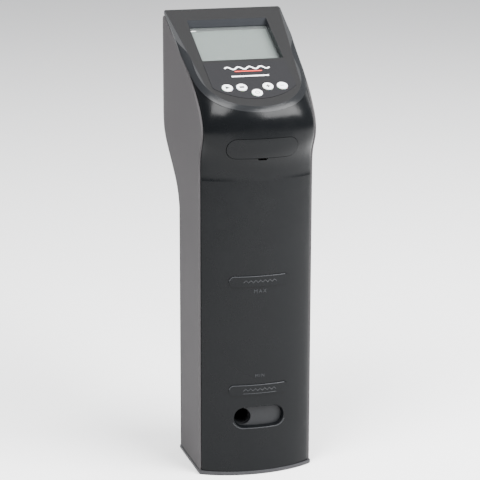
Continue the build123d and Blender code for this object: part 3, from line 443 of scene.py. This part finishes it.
def laminations():
    s = Shader("laminations").set(Metallic=0.8)
    wave = s.tree.nodes.new("ShaderNodeTexWave")
    wave.bands_direction = "Z"
    wave.inputs["Scale"].default_value = 320.0
    s.link(s.where, wave.inputs["Vector"])
    s.colour(s.blend(wave.outputs["Fac"], (0.10, 0.10, 0.105), (0.24, 0.235, 0.23)))
    s.roughness(s.remap(s.noise(300.0), 0.45, 0.6))
    s.bump(wave.outputs["Fac"], 0.00015)
    return s.material


def heater_tube():
    """Drawn tube with the straw and blue tints of use."""
    s = Shader("heater_tube").set(Metallic=1.0)
    tint = s.noise(24.0, 3.0)
    warm = s.blend(s.remap(tint, 0.0, 1.0), (0.46, 0.44, 0.41), (0.42, 0.36, 0.26))
    s.colour(s.blend(s.remap(s.noise(40.0, 3.0), 0.0, 0.5, 0.5, 0.8), warm, (0.22, 0.24, 0.33)))
    s.roughness(s.remap(s.noise(500.0), 0.24, 0.36))
    s.bump(s.noise(1200.0), 0.00001)
    return s.material


MATERIALS = {
    "shell_black": column_black(),
    "side_grey": side_grey(),
    "panel_matte": panel_matte(),
    "key_white": key_white(),
    "window_clear": clear_window(),
    "lcd_grey": lcd_glass(),
    "board_green": circuit_board(),
    "cover_black": plastic("cover_black", (0.026, 0.026, 0.028), 0.52, 1500.0, 0.00005),
    "stainless": brushed("stainless", (0.55, 0.55, 0.56), 0.30, "z"),
    "heater_sheath": heater_tube(),
    "clamp_steel": brushed("clamp_steel", (0.56, 0.56, 0.57), 0.32, "x"),
    "screw_steel": turned("screw_steel", (0.52, 0.52, 0.54), 0.30, "Y"),
    "rubber_black": rubber(),
    "pump_plastic": plastic("pump_plastic", (0.010, 0.0105, 0.0115), 0.45, 1800.0, 0.00003),
    "brass_parts": turned("brass_parts", (0.60, 0.46, 0.22), 0.28, "Y"),
    "motor_metal": brushed("motor_metal", (0.56, 0.56, 0.58), 0.40, "z"),
    "lamination": laminations(),
}
OVERLAY = overlay_film()


# ---------------------------------------------------------------- mesh tools
def add_piece(name, mesh, material, body="housing"):
    """A new piece made of a mesh in frame coordinates, riding on a body."""
    piece = bpy.data.objects.new(name, mesh)
    bpy.context.scene.collection.objects.link(piece)
    mesh.materials.clear()
    mesh.materials.append(material)
    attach(piece, body)
    return piece


def evaluated_mesh(data):
    """The mesh that a curve or text gives."""
    holder = bpy.data.objects.new("holder", data)
    bpy.context.scene.collection.objects.link(holder)
    graph = bpy.context.evaluated_depsgraph_get()
    mesh = bpy.data.meshes.new_from_object(holder.evaluated_get(graph))
    bpy.data.objects.remove(holder)
    return mesh


def smooth(mesh, degrees):
    """Shades a mesh smooth, except across edges sharper than an angle."""
    bm = bmesh.new()
    bm.from_mesh(mesh)
    for face in bm.faces:
        face.smooth = True
    for edge in bm.edges:
        edge.smooth = len(edge.link_faces) == 2 and edge.calc_face_angle(0.0) < radians(degrees)
    bm.to_mesh(mesh)
    bm.free()
    return mesh


def surface_tree(node):
    """A CAD node's surface, ready for ray casts."""
    mesh = NODES[node].data
    return BVHTree.FromPolygons([v.co for v in mesh.vertices], [p.vertices for p in mesh.polygons])


def flat_shape(outlines, thickness):
    """A thin plate with the given closed outlines, in metres; an outline inside another is a hole."""
    data = bpy.data.curves.new("outline", "CURVE")
    data.dimensions, data.fill_mode, data.extrude = "2D", "BOTH", thickness / 2
    for outline in outlines:
        spline = data.splines.new("POLY")
        spline.points.add(len(outline) - 1)
        spline.use_cyclic_u = True
        for point, (x, y) in zip(spline.points, outline):
            point.co = (x, y, 0, 1)
    mesh = evaluated_mesh(data)
    bm = bmesh.new()
    bm.from_mesh(mesh)
    bmesh.ops.remove_doubles(bm, verts=bm.verts, dist=1e-7)
    bmesh.ops.recalc_face_normals(bm, faces=bm.faces)
    bm.to_mesh(mesh)
    bm.free()
    return mesh


def arc(radius, start, end, steps=24, centre=(0.0, 0.0)):
    """Points along an arc, its angles in degrees."""
    angles = [radians(start + (end - start) * i / steps) for i in range(steps + 1)]
    return [(centre[0] + radius * cos(a), centre[1] + radius * sin(a)) for a in angles]


def rounded_box(width, height, radius):
    """The outline of a rectangle with round corners, about the origin."""
    points = []
    for quarter, (right, up) in enumerate(((1, 1), (-1, 1), (-1, -1), (1, -1))):
        x, y = right * width / 2, up * height / 2
        inner = (x - radius * (1 if x > 0 else -1), y - radius * (1 if y > 0 else -1))
        points += arc(radius, 90 * quarter, 90 * quarter + 90, 8, inner)
    return points


def bar(width, height, centre=(0.0, 0.0)):
    """The outline of a plain rectangle."""
    x, y = width / 2, height / 2
    return [(centre[0] + a * x, centre[1] + b * y) for a, b in ((-1, -1), (1, -1), (1, 1), (-1, 1))]


# ---------------------------------------------------------------- keys and prints on the panel
def panel_matrix(origin):
    """Axes for a print on the sloping panel: right, up the slope, and out of it."""
    right = Vector((1, 0, 0))
    axes = Matrix((right, NORMAL_UP.cross(right), NORMAL_UP)).transposed()
    return Matrix.Translation(origin) @ axes.to_4x4()


def top_centre(node):
    """The middle of a node's face that lies furthest out of the panel."""
    points = [v.co for v in NODES[node].data.vertices]
    level = max(p.dot(NORMAL_UP) for p in points)
    top = [p for p in points if p.dot(NORMAL_UP) > level - 1e-6]
    return sum(top, Vector()) / len(top)


PRINT = 0.12 * MM  # how thick a printed mark stands
# painted highlight: a grey several times lighter than the column's black, for the light caught by the rounded bar
# edges and the slot lip; also the colour of the small raised waves, line and letters
EDGE_HIGHLIGHT_AND_MARKS = plastic("painted_highlight_and_marks", (0.018, 0.019, 0.021), 0.34, 2600.0, 0.00001)
# dark print on the keys and the display, also painted shade for the screw heads' cross recesses
DARK_INK_AND_SHADE = plastic("dark_ink_and_painted_shade", (0.006, 0.006, 0.007), 0.5, 3000.0, 0.00001)
INK_GREY = plastic("ink_grey", (0.11, 0.11, 0.115), 0.5, 3000.0, 0.00001)
INK_WHITE = plastic("ink_white", (0.80, 0.80, 0.80), 0.45, 3000.0, 0.00001, 0.04)
INK_RED = plastic("ink_red", (0.60, 0.045, 0.03), 0.45, 3000.0, 0.00001)


def millimetres(outline):
    """An outline given in millimetres, in metres."""
    return [(x * MM, y * MM) for x, y in outline]


def add_key_marks():
    """A plain icon on each key: play, menu bar, power ring, plus and minus."""
    ring = arc(1.75, 125, 415) + arc(1.35, 415, 125)
    marks = {
        "start_key": ([[(-1.4, 1.8), (-1.4, -1.8), (2.0, 0)]], DARK_INK_AND_SHADE),
        "menu_key": ([rounded_box(3.9, 2.0, 0.5)], DARK_INK_AND_SHADE),
        "power_key": ([ring, bar(0.42, 1.9, (0, 1.25))], INK_GREY),
        "up_key": ([bar(3.4, 1.0), bar(1.0, 1.2, (0, 1.1)), bar(1.0, 1.2, (0, -1.1))], DARK_INK_AND_SHADE),
        "down_key": ([bar(3.0, 0.6)], INK_GREY),
    }
    for key, (outlines, ink) in marks.items():
        mesh = flat_shape([millimetres(o) for o in outlines], PRINT)
        mesh.transform(panel_matrix(top_centre(key) + NORMAL_UP * PRINT * 0.4))
        add_piece(key + "_mark", mesh, ink, key)


def stroke(points, width):
    """The outline of a line of even width through points, flat ended."""
    left, right = [], []
    for i, point in enumerate(points):
        a, b = Vector(points[max(i - 1, 0)]), Vector(points[min(i + 1, len(points) - 1)])
        across = (b - a).normalized().orthogonal() * width / 2
        left.append(tuple(Vector(point) + across))
        right.append(tuple(Vector(point) - across))
    return left + right[::-1]


def add_overlay_print():
    """A plain water mark under the display: a white wave, a short red rule and a white bar."""
    low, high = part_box("keypad_overlay")
    top_edge = max((v.co for v in NODES["keypad_overlay"].data.vertices), key=lambda p: p.dot(UPSLOPE))
    face = max(v.co.dot(NORMAL_UP) for v in NODES["keypad_overlay"].data.vertices)
    centre = Vector(((low.x + high.x) / 2, top_edge.y, top_edge.z))
    centre += NORMAL_UP * (face + PRINT * 0.4 - centre.dot(NORMAL_UP))
    wave = [(x, 1.5 * sin(2 * pi * x / 9.0)) for x in [-18 + 0.375 * i for i in range(97)]]
    for name, outline, down, ink in (
        ("print_wave", stroke(wave, 1.3), 8.0, INK_WHITE),
        ("print_rule", bar(22.0, 1.0), 12.2, INK_RED),
        ("print_line", bar(30.0, 1.4), 18.5, INK_WHITE),
    ):
        mesh = flat_shape([millimetres(outline)], PRINT)
        mesh.transform(panel_matrix(centre - UPSLOPE * down * MM))
        add_piece(name, mesh, ink)


add_key_marks()
add_overlay_print()


# ---------------------------------------------------------------- marks on the column
SHELL = surface_tree("front_shell")
MARKED_X = 13.5 * MM  # half the length of a row of level waves


def on_front(x, z, proud=0.0):
    """The point on the column's front at a width and height, standing out by a little."""
    hit = SHELL.ray_cast(Vector((x, -0.2, z)), Vector((0, 1, 0)))[0]
    return Vector((x, hit.y - proud, z))


def add_bead(name, points, radius):
    """A fine raised line through points."""
    data = bpy.data.curves.new(name, "CURVE")
    data.dimensions, data.bevel_depth, data.bevel_resolution, data.use_fill_caps = "3D", radius, 2, True
    spline = data.splines.new("POLY")
    spline.points.add(len(points) - 1)
    for point, place in zip(spline.points, points):
        point.co = (*place, 1)
    add_piece(name, smooth(evaluated_mesh(data), 50), EDGE_HIGHLIGHT_AND_MARKS)


def add_lettering(name, text, height, z):
    """Small raised letters that follow the column's front."""
    data = bpy.data.curves.new(name, "FONT")
    data.body, data.size, data.extrude = text, height, 0.0002
    data.align_x, data.align_y, data.space_character = "CENTER", "CENTER", 1.35
    mesh = evaluated_mesh(data)
    for vertex in mesh.vertices:
        vertex.co = on_front(vertex.co.x, z + vertex.co.y, vertex.co.z + 0.00005)
    add_piece(name, mesh, EDGE_HIGHLIGHT_AND_MARKS)


def add_bar_edge(name, middle):
    """The rounded upper edge of a raised level bar, coloured a little lighter as a painted highlight."""
    length, height, radius = 49.6 * MM, 8.4 * MM, 0.42 * MM
    end = length / 2 - height / 2
    bend = arc(height / 2 - radius / 2, 165, 90, 8, (-end, middle))
    top = bend[-1][1]
    path = bend + [(-end + 2 * end * i / 16, top) for i in range(1, 17)]
    rise = Vector((0, 0, radius))
    add_bead(name, [on_front(x, z - radius, -radius / 2) + rise for x, z in path], radius)


def add_slot_lip():
    """The rounded lower lip of the flow slot, coloured lighter as a painted highlight."""
    length, height, middle, radius = 43.2 * MM, 17.6 * MM, 48.2 * MM, 0.40 * MM
    end, bend = length / 2 - height / 2, height / 2 + radius
    path = arc(bend, 205, 270, 10, (-end, middle))
    path += [(-end + 2 * end * i / 12, middle - bend) for i in range(1, 12)]
    path += arc(bend, 270, 335, 10, (end, middle))
    add_bead("slot_lip", [on_front(x, z, -radius * 0.45) for x, z in path], radius)


def add_level_marks():
    """The water level marks: rows of waves, their bars' edges and their letters."""
    steps, amplitude = 14, 0.9 * MM
    for name, z in (("max", 160.1 * MM), ("min", 71.4 * MM)):
        zigzag = [
            on_front(-MARKED_X + 2 * MARKED_X * i / steps, z + amplitude * (1 if i % 2 else -1))
            for i in range(steps + 1)
        ]
        add_bead(f"{name}_waves", zigzag, 0.28 * MM)
    line = [on_front(-MARKED_X + 2 * MARKED_X * i / 12, 68.3 * MM) for i in range(13)]
    add_bead("min_line", line, 0.22 * MM)
    add_slot_lip()
    for name, middle in (("max", 160.1 * MM), ("min", 71.1 * MM)):
        add_bar_edge(f"{name}_bar_edge", middle)
    add_lettering("max_letters", "MAX", 4.2 * MM, 151.8 * MM)
    add_lettering("min_letters", "MIN", 3.6 * MM, 82.6 * MM)


add_level_marks()


# ---------------------------------------------------------------- small details
def islands(node):
    """The points of each separate solid in a node."""
    bm = bmesh.new()
    bm.from_mesh(NODES[node].data)
    bmesh.ops.remove_doubles(bm, verts=bm.verts, dist=1e-6)
    left = set(bm.verts)
    found = []
    while left:
        group, edge_of = set(), [next(iter(left))]
        while edge_of:
            vert = edge_of.pop()
            if vert not in group:
                group.add(vert)
                edge_of += [e.other_vert(vert) for e in vert.link_edges]
        left -= group
        found.append([v.co.copy() for v in group])
    bm.free()
    return found


def facing_matrix(place, out, right):
    """Axes for a mark: right, up and out of the surface."""
    right = (right - out * right.dot(out)).normalized()
    return Matrix.Translation(place) @ Matrix((right, out.cross(right), out)).transposed().to_4x4()


def add_cross_recess_shade(node, out, size):
    """A dark cross on each screw head of a node: painted shade standing in for a cross recess."""
    arm, half = size / 2, size * 0.13
    cross = [(half, half), (half, arm), (-half, arm), (-half, half), (-arm, half), (-arm, -half),
             (-half, -half), (-half, -arm), (half, -arm), (half, -half), (arm, -half), (arm, half)]
    out = Vector(out)
    for i, points in enumerate(islands(node)):
        level = max(p.dot(out) for p in points)
        top = [p for p in points if p.dot(out) > level - 1e-5]
        middle = sum(top, Vector()) / len(top)
        mesh = flat_shape([cross], PRINT)
        mesh.transform(facing_matrix(middle + out * PRINT * 0.3, out, out.orthogonal()))
        # painted shade: a thin dark cross stands proud of the head where a recess would lie in shade
        add_piece(f"{node}_cross_{i}", mesh, DARK_INK_AND_SHADE)


def add_lcd_segments():
    """Two short display segments in the top left corner of the display."""
    face = top_centre("lcd_module")
    level = face.dot(NORMAL_UP) - 1e-6
    points = [v.co for v in NODES["lcd_module"].data.vertices if v.co.dot(NORMAL_UP) > level]
    left = min(p.x for p in points)
    top = max(p.dot(UPSLOPE) for p in points)
    start = face + UPSLOPE * (top - face.dot(UPSLOPE))
    start.x = left
    for name, x, down, width, ink in (
        ("light", 4.2, 1.1, 5.4, INK_WHITE),
        ("dark", 8.6, 2.6, 6.0, DARK_INK_AND_SHADE),
    ):
        mesh = flat_shape([millimetres(bar(width, 0.55))], PRINT)
        place = start + Vector((x * MM, 0, 0)) - UPSLOPE * down * MM + NORMAL_UP * PRINT
        mesh.transform(panel_matrix(place))
        add_piece(f"lcd_segment_{name}", mesh, ink)


def add_rocker_marks():
    """On and off: a bar and a ring."""
    tree = surface_tree("switch_rocker")
    low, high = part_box("switch_rocker")
    middle = (low + high) / 2
    for name, offset, outlines in (
        ("on", 5.5 * MM, [bar(0.5, 3.0)]),
        ("off", -5.5 * MM, [arc(1.5, 0, 345, 30), arc(1.1, 0, 345, 30)]),
    ):
        start = Vector((middle.x, high.y + 0.02, middle.z + offset))
        place, out = tree.ray_cast(start, Vector((0, -1, 0)))[:2]
        mesh = flat_shape([millimetres(o) for o in outlines], PRINT)
        mesh.transform(facing_matrix(place + out * PRINT * 0.4, out, Vector((-1, 0, 0))))
        add_piece(f"rocker_{name}", mesh, INK_WHITE, "rocker")


def add_clamp_thread():
    """The clamp screw with its real thread, cut into the bar that it replaces."""
    low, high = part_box("clamp_screw")
    radius, pitch, depth, chamfer = (high.x - low.x) / 2, 2.0 * MM, 0.62 * MM, 0.9 * MM
    middle = (low + high) / 2
    around, per_turn = 40, 8
    rings = int((high.y - low.y) / pitch * per_turn)
    bm = bmesh.new()
    grid = []
    for i in range(rings + 1):
        y = low.y + (high.y - low.y) * i / rings
        ends = min(y - low.y, high.y - y)
        ring = []
        for j in range(around):
            phase = ((y - low.y) / pitch - j / around) % 1.0
            cut = max(0.0, 1.0 - abs(phase - 0.5) * 2.6) * depth
            r = min(radius - cut, radius - max(0.0, chamfer - ends))
            angle = 2 * pi * j / around
            place = (middle.x + r * cos(angle), y, middle.z + r * sin(angle))
            ring.append(bm.verts.new(place))
        grid.append(ring)
    for one, two in zip(grid, grid[1:]):
        for j in range(around):
            k = (j + 1) % around
            bm.faces.new((one[j], two[j], two[k], one[k]))
    bm.faces.new(grid[0])
    bm.faces.new(grid[-1])
    bmesh.ops.recalc_face_normals(bm, faces=bm.faces)
    mesh = bpy.data.meshes.new("clamp_thread")
    bm.to_mesh(mesh)
    bm.free()
    piece = add_piece("clamp_thread", smooth(mesh, 50), MATERIALS["stainless"], "screw")
    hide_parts("clamp_screw")


add_cross_recess_shade("cover_screws", (0, 1, 0), 3.4 * MM)
add_cross_recess_shade("base_screws", (0, 0, -1), 3.4 * MM)
add_cross_recess_shade("bracket_screws", (0, 1, 0), 3.4 * MM)
add_lcd_segments()
add_rocker_marks()
add_clamp_thread()


def dress_cad_nodes():
    """Gives every CAD node the material of its record slot."""
    special = {"keypad_overlay": OVERLAY}
    for name, node in NODES.items():
        material = special.get(name, MATERIALS[SLOT_OF[name]])
        node.data.materials.clear()
        node.data.materials.append(material)


dress_cad_nodes()
